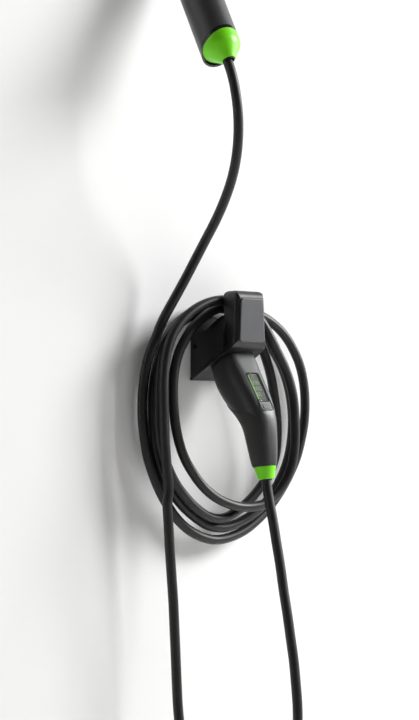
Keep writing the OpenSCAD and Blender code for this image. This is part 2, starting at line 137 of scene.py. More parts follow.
@dataclass(frozen=True)
class Finish:
    """A surface finish: what the material is, and how its surface was made.

    Grain is the size in millimetres of the texture's bumps and depth is their height.
    Mottle is how much the colour and the gloss wander over a few centimetres.
    """

    name: str
    colour: str
    roughness: float
    ior: float = 1.5
    metallic: float = 0.0
    grain: float = 0.5
    depth: float = 0.01
    mottle: float = 0.12
    sheen: float = 0.0
    coat: float = 0.0

    def material(self) -> bpy.types.Material:
        """Return the finish's Blender material, built on first use."""
        known = bpy.data.materials.get(self.name)
        if known:
            return known
        made = bpy.data.materials.new(self.name)
        made.use_nodes = True
        tree = made.node_tree
        tree.nodes.clear()
        shader = add_node(
            tree,
            "ShaderNodeBsdfPrincipled",
            {
                "Base Color": linear(self.colour),
                "Roughness": self.roughness,
                "IOR": self.ior,
                "Metallic": self.metallic,
                "Sheen Weight": self.sheen,
                "Coat Weight": self.coat,
                "Coat Roughness": 0.15,
            },
        )
        add_node(tree, "ShaderNodeOutputMaterial", {"Surface": shader.outputs[0]})
        place = add_node(tree, "ShaderNodeTexCoord").outputs["Object"]
        self.dress(tree, shader, place)
        return made

    def dress(self, tree: bpy.types.NodeTree, shader: bpy.types.Node, place: bpy.types.NodeSocket) -> None:
        """Add the mottling, the lighter edges, which are partly scuffs and partly a painted highlight, and
        the grain.

        Args:
            tree: The material's tree.
            shader: Its principled shader.
            place: Object coordinates.
        """
        cloud = add_node(tree, "ShaderNodeTexNoise", {"Vector": place, "Scale": 45.0, "Detail": 4.0})
        base = linear(self.colour)
        light = tuple(min(1.0, c * (1 + 2.2 * self.mottle) + 0.01 * self.mottle) for c in base[:3])
        tone = add_node(
            tree,
            "ShaderNodeMix",
            {0: cloud.outputs[0], 6: base, 7: (*light, 1.0)},
            data_type="RGBA",
        )
        # Convex edges are painted lighter: partly scuffing, partly a painted highlight standing in for gloss
        # catching the light.
        scuffed_and_highlit_colour = tuple(min(1.0, c * 1.5 + 0.012) for c in light)
        ridge = add_node(tree, "ShaderNodeNewGeometry").outputs["Pointiness"]
        edge = add_node(tree, "ShaderNodeMapRange", {0: ridge, 1: 0.53, 2: 0.62, 3: 0.0, 4: 0.55})
        scuffed_and_highlit_tone = add_node(
            tree,
            "ShaderNodeMix",
            {0: edge.outputs[0], 6: tone.outputs[2], 7: (*scuffed_and_highlit_colour, 1.0)},
            data_type="RGBA",
        )
        tree.links.new(scuffed_and_highlit_tone.outputs[2], shader.inputs["Base Color"])
        gloss = add_node(
            tree,
            "ShaderNodeMapRange",
            {
                0: cloud.outputs[0],
                1: 0.3,
                2: 0.7,
                3: self.roughness * (1 - self.mottle),
                4: min(1.0, self.roughness * (1 + self.mottle)),
            },
        )
        tree.links.new(gloss.outputs[0], shader.inputs["Roughness"])
        self.relief(tree, shader, self.height(tree, place))

    def height(self, tree: bpy.types.NodeTree, place: bpy.types.NodeSocket) -> bpy.types.NodeSocket:
        """Return the socket that carries the texture's height, from 0 to 1."""
        grain = add_node(
            tree,
            "ShaderNodeTexNoise",
            {"Vector": place, "Scale": 1 / (self.grain * MM), "Detail": 2.0, "Roughness": 0.6},
        )
        return grain.outputs[0]

    def relief(self, tree: bpy.types.NodeTree, shader: bpy.types.Node, height: bpy.types.NodeSocket) -> None:
        """Bump the shader by a height socket, as deep as the finish says."""
        bump = add_node(
            tree, "ShaderNodeBump", {"Height": height, "Strength": 1.0, "Distance": self.depth * MM}
        )
        tree.links.new(bump.outputs[0], shader.inputs["Normal"])


@dataclass(frozen=True)
class CableJacket(Finish):
    """An extruded jacket over twisted cores, which show as long low spirals."""

    cores: int = 5
    lay: float = 190.0

    def height(self, tree: bpy.types.NodeTree, place: bpy.types.NodeSocket) -> bpy.types.NodeSocket:
        """Return the height of the spiral that the cores press into the jacket."""
        laid_out = add_node(tree, "ShaderNodeUVMap", uv_map="jacket")
        split = add_node(tree, "ShaderNodeSeparateXYZ", {0: laid_out.outputs[0]})
        per_turn, per_metre = float(self.cores), 1 / (self.lay * MM)
        around = add_node(tree, "ShaderNodeMath", {0: split.outputs[0], 1: per_turn}, operation="MULTIPLY")
        along = add_node(tree, "ShaderNodeMath", {0: split.outputs[1], 1: per_metre}, operation="MULTIPLY")
        turn = add_node(tree, "ShaderNodeMath", {0: around.outputs[0], 1: along.outputs[0]}, operation="ADD")
        angle = add_node(tree, "ShaderNodeMath", {0: turn.outputs[0], 1: 2 * math.pi}, operation="MULTIPLY")
        wave = add_node(tree, "ShaderNodeMath", {0: angle.outputs[0]}, operation="SINE")
        terms = {0: wave.outputs[0], 1: 0.5, 2: super().height(tree, place)}
        both = add_node(tree, "ShaderNodeMath", terms, operation="MULTIPLY_ADD")
        return both.outputs[0]


@dataclass(frozen=True)
class ClearWindow(Finish):
    """A moulded transparent window."""

    def dress(self, tree: bpy.types.NodeTree, shader: bpy.types.Node, place: bpy.types.NodeSocket) -> None:
        """Make the shader transmit, with a trace of haze in its gloss."""
        shader.inputs["Transmission Weight"].default_value = 0.96
        haze = add_node(tree, "ShaderNodeTexNoise", {"Vector": place, "Scale": 160.0, "Detail": 3.0})
        rough = add_node(tree, "ShaderNodeMapRange", {0: haze.outputs[0], 1: 0.3, 2: 0.7, 3: 0.02, 4: 0.09})
        tree.links.new(rough.outputs[0], shader.inputs["Roughness"])


@dataclass(frozen=True)
class Lit(Finish):
    """Something that gives light, such as a display's segments or a light guide."""

    power: float = 1.0

    def dress(self, tree: bpy.types.NodeTree, shader: bpy.types.Node, place: bpy.types.NodeSocket) -> None:
        """Let the surface glow, a little unevenly as light through plastic does."""
        cloud = add_node(tree, "ShaderNodeTexNoise", {"Vector": place, "Scale": 260.0, "Detail": 2.0})
        dim, bright = 0.75 * self.power, 1.2 * self.power
        glow = add_node(tree, "ShaderNodeMapRange", {0: cloud.outputs[0], 1: 0.2, 2: 0.8, 3: dim, 4: bright})
        shader.inputs["Emission Color"].default_value = linear(self.colour)
        tree.links.new(glow.outputs[0], shader.inputs["Emission Strength"])


# Glass-filled nylon, moulded in a spark-eroded tool: near black and evenly dull.
BODY_NYLON = Finish("moulded_nylon_black", "#0c0c0d", 0.6, grain=0.7, depth=0.02)
# The same nylon on the front piece, from a finer tool, so it takes a soft highlight.
FRONT_NYLON = Finish("moulded_nylon_front", "#101011", 0.44, grain=0.5, depth=0.012)
# ABS face panel with a satin lacquer: a calm mid grey.
PANEL_ABS = Finish("lacquered_abs_grey", "#4a4b4d", 0.42, grain=0.35, depth=0.006, mottle=0.06)
# Polycarbonate blend of the handle and plug shells: dark grey with a soft sheen.
SHELL_PC = Finish("moulded_polycarbonate_grey", "#2c2c2e", 0.4, grain=0.4, depth=0.008, mottle=0.08)
# Overmoulded thermoplastic rubber of the grip: darker and duller than the shells.
GRIP_TPE = Finish("overmoulded_tpe", "#201f1e", 0.66, ior=1.48, grain=0.6, depth=0.015, sheen=0.15)
# Display cover of the same polycarbonate, a shade lighter.
COVER_PC = Finish("moulded_polycarbonate_light", "#3a3b3d", 0.4, grain=0.4, depth=0.006, mottle=0.06)
# Glossy black ABS round the window and on the plug's end ring.
TRIM_ABS = Finish("gloss_abs_black", "#0b0b0c", 0.22, grain=1.2, depth=0.004, mottle=0.1)
# Polyamide nose and contact carriers: smooth and semi-matt black.
NOSE_PA = Finish("polyamide_black", "#121314", 0.38, grain=0.5, depth=0.006)
# Lime green ABS of the two cable ends, dyed through, satin.
GREEN_ABS = Finish("dyed_abs_lime", "#72d800", 0.38, grain=0.5, depth=0.006, mottle=0.05)
# Silicone and nitrile seals and the strain reliefs: dull black rubber.
SEAL_RUBBER = Finish("nitrile_rubber", "#0d0d0d", 0.75, ior=1.48, grain=0.3, depth=0.01, sheen=0.1)
# Polyurethane cable jacket, extruded: black with a soft streak of light along it.
JACKET_PUR = CableJacket("extruded_polyurethane", "#0b0b0c", 0.46, ior=1.49,
                         grain=0.8, depth=0.05, mottle=0.1)
# Powder coated steel wall plate: dark with a fine orange peel.
PLATE_STEEL = Finish("powder_coated_steel", "#1f2022", 0.5, grain=1.4, depth=0.02)
# Black zinc plated screws, and bright ones where they are hidden.
SCREW_BLACK = Finish("black_zinc_steel", "#1a1a1b", 0.4, metallic=1.0, grain=0.3, depth=0.004)
SCREW_ZINC = Finish("zinc_plated_steel", "#a9abae", 0.32, metallic=1.0, grain=0.3, depth=0.004)
# Silver plated copper contacts, drawn and polished.
SILVER = Finish("silver_plated_copper", "#d9d6cf", 0.2, metallic=1.0, grain=0.25, depth=0.002, mottle=0.05)
# Glass-filled nylon cable clamps in natural grey.
CLAMP_NYLON = Finish("glass_filled_nylon_grey", "#66696d", 0.6, grain=0.6, depth=0.02)
# Solder mask on the display's board.
BOARD_FR4 = Finish("solder_mask_green", "#0d4a20", 0.3, grain=1.5, depth=0.01, coat=0.3)
# Acrylic window over the display.
WINDOW_PMMA = ClearWindow("clear_acrylic", "#f2f5f0", 0.04, ior=1.49)
# Reflective liquid crystal panel: pale grey green, slightly lit from behind.
LCD_PANEL = Lit("liquid_crystal_panel", "#5d6159", 0.3, power=0.04)
# Lit segments and the light guide beside the window.
LCD_SEGMENT = Lit("lit_segments", "#b4d9a0", 0.4, power=0.16)
LIGHT_GUIDE = Lit("light_guide_lime", "#6fb838", 0.35, power=0.1)


# ---- shapes ----------------------------------------------------------------------------


def fillet(corners: Sequence[Point], steps: int = 7) -> list[tuple[float, float]]:
    """Round the corners of a closed outline.

    Args:
        corners: Each corner's two coordinates and its radius.
        steps: Pieces in each rounded corner.

    Returns:
        The outline's points.
    """
    out: list[tuple[float, float]] = []
    count = len(corners)
    for i, (x, y, radius) in enumerate(corners):
        here = np.array((x, y))
        to_last = np.array(corners[i - 1][:2]) - here
        to_next = np.array(corners[(i + 1) % count][:2]) - here
        last_len, next_len = np.linalg.norm(to_last), np.linalg.norm(to_next)
        to_last, to_next = to_last / last_len, to_next / next_len
        angle = math.acos(float(np.clip(to_last @ to_next, -1, 1)))
        if radius <= 0 or angle > math.pi - 0.02:
            out.append((x, y))
            continue
        back = min(radius / math.tan(angle / 2), 0.48 * last_len, 0.48 * next_len)
        middle = here + (to_last + to_next) / np.linalg.norm(to_last + to_next) * back / math.cos(angle / 2)
        arm = here + to_last * back - middle
        end = here + to_next * back - middle
        sweep = math.atan2(arm[0] * end[1] - arm[1] * end[0], float(arm @ end))
        for k in range(steps + 1):
            c, s = math.cos(sweep * k / steps), math.sin(sweep * k / steps)
            out.append((middle[0] + c * arm[0] - s * arm[1], middle[1] + s * arm[0] + c * arm[1]))
    return out


def loft(rings: Sequence[Any]) -> Shape:
    """Join rings of equally many points into a closed form.

    Args:
        rings: The rings, in millimetres, in order.

    Returns:
        Points and faces.
    """
    grid = np.array(rings, float)
    count, sides = grid.shape[:2]
    last = (count - 1) * sides
    faces: list[tuple[int, ...]] = [tuple(range(sides))[::-1], tuple(range(last, last + sides))]
    for i in range(count - 1):
        for k in range(sides):
            a, b = i * sides + k, i * sides + (k + 1) % sides
            faces.append((a, b, b + sides, a + sides))
    return grid.reshape(-1, 3), faces


def prism(outline: Sequence[tuple[float, float]], axes: str, low: float, high: float) -> Shape:
    """Push an outline out along the axis that it doesn't use.

    Args:
        outline: Points in two axes.
        axes: The outline's axes, such as "yz"; a y is a distance from the wall.
        low: Where it starts on the third axis.
        high: Where it ends.

    Returns:
        Points and faces.
    """
    third = ({"x", "y", "z"} - set(axes)).pop()
    rings = []
    for level in (low, high):
        ring = []
        for point in outline:
            at = {axes[0]: point[0], axes[1]: point[1], third: level}
            ring.append((at["x"], -at["y"], at["z"]))
        rings.append(ring)
    return loft(rings)


def lathe(profile: Sequence[tuple[float, float]], sides: int = 96) -> Shape:
    """Turn a closed profile of radius and height about the local Z axis.

    Args:
        profile: Radius and height of each point; a first and last radius of 0 close it.
        sides: Points round each ring.

    Returns:
        Points and faces.
    """
    turns = [2 * math.pi * k / sides for k in range(sides)]
    steps = [(max(r, AXIS_RADIUS), z) for r, z in profile]
    return loft([[(r * math.cos(a), r * math.sin(a), z) for a in turns] for r, z in steps])


def piece(name: str, shape: Shape, at: Matrix | None = None) -> bpy.types.Object:
    """Make a mesh object from a shape in millimetres.

    Args:
        name: The piece's name.
        shape: Points and faces.
        at: The local frame, in metres, that the shape is drawn in.

    Returns:
        The object, at the origin, with its place in its mesh.
    """
    points, faces = shape
    mesh = bpy.data.meshes.new(name)
    mesh.from_pydata((np.asarray(points, float) * MM).tolist(), [], faces)
    if at is not None:
        mesh.transform(at)
    made = bpy.data.objects.new(name, mesh)
    bpy.context.scene.collection.objects.link(made)
    outwards(made)
    return made


def outwards(made: bpy.types.Object) -> None:
    """Merge doubles and point every face outwards."""
    work = bmesh_from(made)
    bmesh.ops.remove_doubles(work, verts=work.verts, dist=1e-6)
    bmesh.ops.recalc_face_normals(work, faces=work.faces)
    work.to_mesh(made.data)
    work.free()


def bmesh_from(made: bpy.types.Object) -> Any:
    """Return a bmesh of the piece's mesh."""
    work = bmesh.new()
    work.from_mesh(made.data)
    return work


def apply_modifiers(made: bpy.types.Object) -> None:
    """Turn the piece and its modifiers into a plain mesh."""
    graph = bpy.context.evaluated_depsgraph_get()
    mesh = bpy.data.meshes.new_from_object(made.evaluated_get(graph))
    old, made.data = made.data, mesh
    mesh.name = made.name
    made.modifiers.clear()
    bpy.data.meshes.remove(old)


def carve(made: bpy.types.Object, tool: bpy.types.Object, how: Cut, keep_tool: bool = False) -> None:
    """Cut a piece with another one.

    Args:
        made: The piece that is cut.
        tool: The piece that cuts.
        how: What is kept.
        keep_tool: Whether the tool is used again.
    """
    change = made.modifiers.new("cut", "BOOLEAN")
    change.operation, change.object, change.solver = how.value, tool, "MANIFOLD"
    apply_modifiers(made)
    if not keep_tool:
        bpy.data.objects.remove(tool)


def drill(
    made: bpy.types.Object, radius: float, low: float, high: float, at: Matrix, sides: int = 96
) -> None:
    """Bore a round hole along the local Z axis.

    Args:
        made: The piece that is bored.
        radius: The hole's radius in millimetres.
        low: Where the hole starts.
        high: Where it ends.
        at: The frame that the hole is drawn in.
        sides: Points round the hole.
    """
    profile = [(0, low), (radius, low), (radius, high), (0, high)]
    carve(made, piece("bore", lathe(profile, sides), at), Cut.REMOVE)


def smooth(made: bpy.types.Object, bevel: float = 0.0, angle: float = 32.0) -> bpy.types.Object:
    """Soften a piece's edges and shade it smoothly.

    Args:
        made: The piece.
        bevel: The width of its softened edges in millimetres, or 0 for none.
        angle: The angle in degrees above which an edge counts as one.

    Returns:
        The same piece.
    """
    if bevel:
        soft = made.modifiers.new("soft_edges", "BEVEL")
        soft.width, soft.segments, soft.limit_method = bevel * MM, BEVEL_STRIPS, "ANGLE"
        soft.angle_limit, soft.use_clamp_overlap = math.radians(angle), True
    made.data.shade_smooth()
    made.data.set_sharp_from_angle(angle=math.radians(45 if bevel else angle))
    even = made.modifiers.new("even_shading", "WEIGHTED_NORMAL")
    even.keep_sharp = True
    apply_modifiers(made)
    return made


def dress(
    made: bpy.types.Object, finish: Finish, body: Body | None, slot: str, *nodes: str
) -> bpy.types.Object:
    """Give a finished piece its material and its body, and hide the CAD nodes it stands for.

    Args:
        made: The piece.
        finish: Its finish.
        body: The body it rides on, or None for a piece that spans two bodies.
        slot: The record's material slot; not used.
        *nodes: The CAD nodes it stands for.

    Returns:
        The same piece.
    """
    made.data.materials.clear()
    made.data.materials.append(finish.material())
    if body:
        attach(made, body.value)
    if nodes:
        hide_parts(*nodes)
    carrier = body.value if body else "two bodies"
    LOG.info("%s rides on %s, %d faces", made.name, carrier, len(made.data.polygons))
    return made


def local_frame(origin: Point, tilt: float) -> Matrix:
    """Return the frame at a point in millimetres, turned about X by tilt degrees."""
    return Matrix.Translation(Vector(origin) * MM) @ Matrix.Rotation(math.radians(tilt), 4, "X")


def slab(width: float, length: float, radius: float, low: float, high: float, middle: float) -> Shape:
    """A rounded rectangle on the handle's facet, in the facet's frame.

    Args:
        width: Size across.
        length: Size down the facet.
        radius: Corner radius.
        low: Height above the facet where it starts; below the facet is negative.
        high: Height where it ends.
        middle: Distance of its centre down the facet.

    Returns:
        Points and faces.
    """
    half, reach = width / 2, length / 2
    outline = fillet([(half, reach - middle, radius), (-half, reach - middle, radius),
                      (-half, -reach - middle, radius), (half, -reach - middle, radius)], 6)
    return prism(outline, "xz", low, high)


def spline(points: np.ndarray, per_span: int) -> np.ndarray:
    """Run a centripetal Catmull-Rom spline through rows of numbers.

    Args:
        points: One row per station; its first columns are its place.
        per_span: Samples between two stations.

    Returns:
        The sampled rows, both ends among them.
    """
    rows = np.vstack([2 * points[0] - points[1], points, 2 * points[-1] - points[-2]])
    gaps = np.sqrt(np.linalg.norm(np.diff(rows[:, :3], axis=0), axis=1))
    out = []
    for i in range(len(points) - 1):
        p = rows[i : i + 4]
        t = np.concatenate([[0.0], np.cumsum(gaps[i : i + 3])])
        for u in np.linspace(t[1], t[2], per_span, endpoint=False):
            a = [(p[k] * (t[k + 1] - u) + p[k + 1] * (u - t[k])) / (t[k + 1] - t[k]) for k in range(3)]
            b = [(a[k] * (t[k + 2] - u) + a[k + 1] * (u - t[k])) / (t[k + 2] - t[k]) for k in range(2)]
            out.append((b[0] * (t[2] - u) + b[1] * (u - t[1])) / (t[2] - t[1]))
    out.append(points[-1])
    return np.array(out)


def even_steps(line: np.ndarray, step: float) -> np.ndarray:
    """Resample a line of points so that they lie about one step apart."""
    run = np.concatenate([[0.0], np.cumsum(np.linalg.norm(np.diff(line, axis=0), axis=1))])
    at = np.linspace(0, run[-1], int(round(run[-1] / step)) + 1)
    return np.column_stack([np.interp(at, run, line[:, k]) for k in range(3)])


# ---- the cable -------------------------------------------------------------------------


@dataclass
class Cable:
    """The charging cable, from inside the handle round the saddle to inside the plug.

    The route is sideways, distance from the wall and height, in millimetres.
    """

    diameter: float = 13.0
    length: float = 4.87
    sides: int = 20
    step: float = 4.0
    path: list[list[float]] = field(default_factory=list)
    handle_end: Point = (0.0, 112.0, -151.0)
    handle_tilt: float = 8.5
    plug_end: Point = (-77.0, 57.2977, 500.1832)
    plug_tilt: float = 28.0
    plug_length: float = 155.0
    route: tuple[Point, ...] = (
        (1, 118, -190), (4, 123, -220), (6, 128, -250), (8, 133, -280), (9, 138, -310),
        (10, 144, -340), (11, 149, -370), (12, 154, -400), (12, 158, -430), (12, 161, -460),
        (10, 162, -490), (4, 159, -518), (-8, 151, -543), (-26, 137, -561), (-46, 119, -569),
        (-66, 99, -564), (-82, 80, -548), (-91, 66, -524), (-95, 57, -496), (-96, 52, -466),
        (-97, 50, -430), (-98, 49, -395), (-100, 49, -360), (-102, 49, -325), (-105, 49, -290),
        (-108, 49, -255), (-110, 49, -225), (-112, 49, -196), (-110, 50, -180), (-113, 50, -159),
        (-115, 50, -137), (-117, 50, -116), (-118, 50, -90), (-119, 50, -65), (-119, 50, -41),
        (-117, 50, -19), (-112, 50, 3), (-103, 50, 22), (-86, 50, 41), (-64, 50, 56),
        (-41, 50, 65), (-16, 50, 69), (8, 50, 68), (30, 51, 59), (47, 54, 41), (60, 57, 20),
        (73, 57, 0), (86, 57, -20), (96, 57, -42), (102, 57, -65), (104, 57, -92),
        (105, 56, -117), (104, 54, -140), (99, 52, -160), (89, 50, -178), (75, 49, -193),
        (56, 48, -203), (37, 47, -206), (17, 46, -206), (-2, 45, -202), (-20, 43, -195),
        (-36, 41, -185), (-49, 39, -173), (-61, 38, -159), (-72, 37, -143), (-80, 37, -127),
        (-86, 37, -109), (-90, 37, -91), (-92, 37, -72), (-93, 37, -53), (-92, 37, -35),
        (-89, 37, -18), (-83, 37, -1), (-73, 38, 16), (-59, 38, 33), (-42, 38, 46),
        (-24, 39, 56), (-4, 39, 60), (18, 39, 56), (38, 41, 40), (52, 43, 17), (63, 44, -7),
        (72, 44, -31), (78, 43, -54), (83, 42, -76), (86, 41, -99), (87, 39, -121),
        (85, 37, -142), (77, 35, -161), (63, 33, -180), (44, 32, -198), (22, 31, -212),
        (-2, 31, -221), (-26, 32, -219), (-48, 33, -208), (-69, 33, -191), (-87, 33, -171),
        (-100, 34, -150), (-109, 33, -128), (-113, 33, -106), (-114, 33, -86), (-114, 33, -66),
        (-113, 33, -45), (-110, 32, -19), (-104, 31, 3), (-94, 30, 19), (-79, 28, 34),
        (-63, 27, 43), (-38, 26, 55), (-12, 26, 59), (12, 26, 58), (36, 27, 45), (62, 27, 28),
        (84, 27, 12), (103, 27, -10), (116, 27, -35), (124, 27, -62), (127, 27, -92),
        (125, 26, -122), (117, 26, -149), (103, 26, -174), (84, 26, -197), (60, 25, -215),
        (32, 24, -228), (3, 24, -234), (-22, 22, -230), (-44, 21, -218), (-66, 20, -201),
        (-84, 20, -181), (-97, 20, -160), (-106, 19, -136), (-111, 19, -110), (-113, 19, -83),
        (-112, 19, -50), (-105, 19, -18), (-94, 17, 6), (-78, 14, 28), (-55, 13, 46),
        (-28, 13, 58), (0, 13, 61), (28, 13, 61), (56, 15, 59), (83, 17, 51), (104, 18, 40),
        (123, 18, 25), (139, 18, 5), (150, 18, -15), (157, 18, -41), (159, 18, -66),
        (157, 18, -94), (151, 18, -118), (143, 18, -141), (130, 18, -164), (113, 18, -187),
        (93, 18, -208), (69, 19, -226), (43, 20, -240), (16, 20, -248), (-8, 20, -250),
        (-31, 20, -245), (-52, 19, -235), (-70, 18, -221), (-86, 18, -203), (-101, 18, -181),
        (-112, 18, -159), (-120, 18, -138), (-125, 18, -116), (-128, 18, -96), (-129, 18, -70),
        (-128, 19, -45), (-125, 21, -22), (-121, 23, -4), (-115, 26, 12), (-106, 29, 36),
        (-94, 35, 61), (-82, 42, 86), (-71, 50, 112), (-62, 62, 140), (-56, 79, 169),
        (-54, 97, 198), (-56, 115, 229), (-61, 129, 262), (-67, 137, 296), (-72, 139, 321),
        (-76, 137, 345),
    )

    def handle_axis(self, s: float) -> Point:
        """Return the point s beyond the handle's end, on its axis."""
        tilt = math.radians(self.handle_tilt)
        x, depth, height = self.handle_end
        return x, depth + s * math.sin(tilt), height - s * math.cos(tilt)

    def plug_axis(self, s: float) -> Point:
        """Return the point s beyond the plug's mouth, on its axis."""
        tilt = math.radians(self.plug_tilt)
        x, depth, height = self.plug_end
        reach = self.plug_length + s
        return x, depth + reach * math.sin(tilt), height - reach * math.cos(tilt)

    def centreline(self) -> np.ndarray:
        """Return the smoothed centreline in millimetres, in the row frame."""
        points = [self.handle_axis(s) for s in (-24, -5, 19)] + list(self.route)
        points += [self.plug_axis(s) for s in (2, -30, -58)]
        line = spline(np.array(points, float), 12)
        line = even_steps(line, self.step)
        for _ in range(3):
            line[1:-1] = 0.25 * line[:-2] + 0.5 * line[1:-1] + 0.25 * line[2:]
        return even_steps(line, self.step) * (1, -1, 1)

    def build(self) -> bpy.types.Object:
        """Returns:
            The jacket.
        """
        line = self.centreline()
        ways = np.gradient(line, axis=0)
        ways /= np.linalg.norm(ways, axis=1)[:, None]
        side = np.cross(ways[0], (0.0, 1.0, 0.3))
        turns = 2 * math.pi * np.arange(self.sides) / self.sides
        rings = []
        for at, way in zip(line, ways):
            side = side - way * (side @ way)
            side /= np.linalg.norm(side)
            other = np.cross(way, side)
            spokes = np.outer(np.cos(turns), side) + np.outer(np.sin(turns), other)
            rings.append(at + self.diameter / 2 * spokes)
        made = piece("cable_jacket", loft(rings))
        self.unwrap(made)
        made.data.shade_smooth()
        made.data.set_sharp_from_angle(angle=math.radians(60))
        dress(made, JACKET_PUR, None, "cable_jacket", "cable_lower", "cable_coil", "cable_upper")
        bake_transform(made)
        self.path = (line * MM).tolist()
        return made

    def unwrap(self, made: bpy.types.Object) -> None:
        """Lay out the jacket: turns around on one axis, metres along on the other."""
        layer = made.data.uv_layers.new(name="jacket")
        for face in made.data.polygons:
            if len(face.vertices) != 4:
                continue
            columns = [v % self.sides for v in face.vertices]
            wraps = max(columns) - min(columns) > 1
            for loop, vertex, column in zip(face.loop_indices, face.vertices, columns):
                around = column + self.sides if wraps and column == 0 else column
                along = (vertex // self.sides) * (self.step * MM)
                layer.data[loop].uv = (around / self.sides, along)


# ---- the holster -----------------------------------------------------------------------


@dataclass
class Holster:
    """The wall holster: a hollow body with a round saddle, its front piece and the panel."""

    half_width: float = 33.0
    saddle_height: float = 20.0
    depth: float = 66.0
    wall: float = 3.0
    tilt: float = 28.0
    low: float = -38.0
    front_rise: float = 4.53
    end_depth: float = 86.0
    dock_depth: float = 47.5
    dock_height: float = -12.74
    bend: float = 17.0
    cheek: float = 0.7
    body_bore: float = 31.1
    front_bore: float = 29.5
    screw_bore: float = 1.6

    def dock(self) -> Matrix:
        """Return the frame of the docking hole, with +Z going into the holster."""
        return local_frame((0, -self.dock_depth, self.dock_height), -self.tilt)

    def underside(self, shrink: float) -> list[tuple[float, float]]:
        """Return the body's lower edge seen from the side, from the wall to the saddle's end."""
        slope = math.tan(math.radians(self.tilt))
        start = self.low + self.front_rise + shrink / math.cos(math.radians(self.tilt))
        end = self.depth - shrink
        line = fillet([(-1, start - slope, 0), (end, start + end * slope, self.bend),
                       (end, self.saddle_height + 8, 0), (-1, self.saddle_height + 8, 0)], 10)
        return [p for p in line if p[1] < self.saddle_height - 1]

    def envelope(self, name: str, shrink: float, start: float) -> bpy.types.Object:
        """Make the body's outer form, or with a shrink its inside.

        Args:
            name: The object's name.
            shrink: How far inside the outer form it lies.
            start: The distance from the wall where it starts.

        Returns:
            The form, with the outer form's cheeks standing proud below their crease.
        """
        half = self.half_width - shrink
        side = [(max(d, start), z) for d, z in self.underside(shrink)]
        rings = []
        for depth, low in side:
            crease = max(17.5 - 0.18 * depth, low + 1.4)
            inner = half - (self.cheek if shrink == 0 else 0.0)
            right = [(half, low), (half, crease - 0.9), (inner, crease + 0.4), (inner, self.saddle_height)]
            turns = [math.pi * k / 40 for k in range(1, 40)]
            top = [(inner * math.cos(a), self.saddle_height + inner * math.sin(a)) for a in turns]
            outline = right + top + [(-x, z) for x, z in reversed(right)]
            rings.append([(x, -depth, z) for x, z in outline])
        return piece(name, loft(rings))

    def build(self) -> None:
        """Build the body, the front piece and the panel."""
        outer = self.envelope("holster_body_shape", 0.0, 0.0)
        self.build_front(outer)
        outer.name = "holster_body_shell"
        carve(outer, self.envelope("inside", self.wall, -1.0), Cut.REMOVE)
        drill(outer, self.body_bore, 3, 90, self.dock())
        across = Matrix.Translation((0, -0.009, 0.008)) @ Matrix.Rotation(math.radians(90), 4, "Y")
        drill(outer, self.screw_bore, -60, 60, across, 24)
        dress(smooth(outer, 0.5), BODY_NYLON, Body.HOLSTER, "body_plastic", "holster_body")
        self.build_panel()

    def build_front(self, body: bpy.types.Object) -> None:
        """Build the bent front piece: the sloping docking face and the end stop."""
        side = fillet([(0, -38, 6), (80, 4.5, 9), (86, 13, 9), (86, 80, 11), (57, 80, 5.5),
                       (58.5, 64, 6), (63, 32, 10), (63, 8, 0), (40, -12.2, 0), (0, -33.47, 0)], 9)
        made = piece("holster_front_shell", prism(side, "yz", -40, 40))
        carve(made, self.taper(), Cut.KEEP)
        carve(made, body, Cut.REMOVE, keep_tool=True)
        drill(made, self.front_bore, -60, 60, self.dock())
        pocket = fillet([(18, 22, 2), (18, 66, 2), (-18, 66, 2), (-18, 22, 2)], 4)
        carve(made, piece("pocket", prism(pocket, "xz", 70, 90)), Cut.REMOVE)
        dress(smooth(made, 1.1), FRONT_NYLON, Body.HOLSTER, "front_plastic", "holster_front")

    def taper(self) -> bpy.types.Object:
        """Make the form that narrows the front piece upwards and rounds its upright edges."""
        widths = np.array([(34.3, 0, -40), (32.7, 0, -20), (31.2, 0, -4), (29.8, 0, 3), (27.9, 0, 10),
                           (26.9, 0, 20), (25.6, 0, 50), (24.7, 0, 68), (24.1, 0, 73), (22.6, 0, 77),
                           (20, 0, 79.4), (16, 0, 80.4), (12, 0, 80.8)], float)
        rings = []
        for half, _, height in spline(widths, 4):
            outer_corners = [(half, self.end_depth, 6.5), (-half, self.end_depth, 6.5)]
            corners = [(half, -5, 0), *outer_corners, (-half, -5, 0)]
            rings.append([(x, -depth, height) for x, depth in fillet(corners, 9)])
        return piece("taper", loft(rings))

    def build_panel(self) -> None:
        """Build the raised face panel of the end stop."""
        outline = fillet([(21.6, 12, 4.5), (18.9, 69.5, 5), (-18.9, 69.5, 5), (-21.6, 12, 4.5)])
        made = piece("end_stop_face", prism(outline, "xz", self.end_depth - 0.3, self.end_depth + 2))
        dress(smooth(made, 0.9), PANEL_ABS, Body.HOLSTER, "panel_plastic", "end_stop_panel")


# ---- the connector ---------------------------------------------------------------------


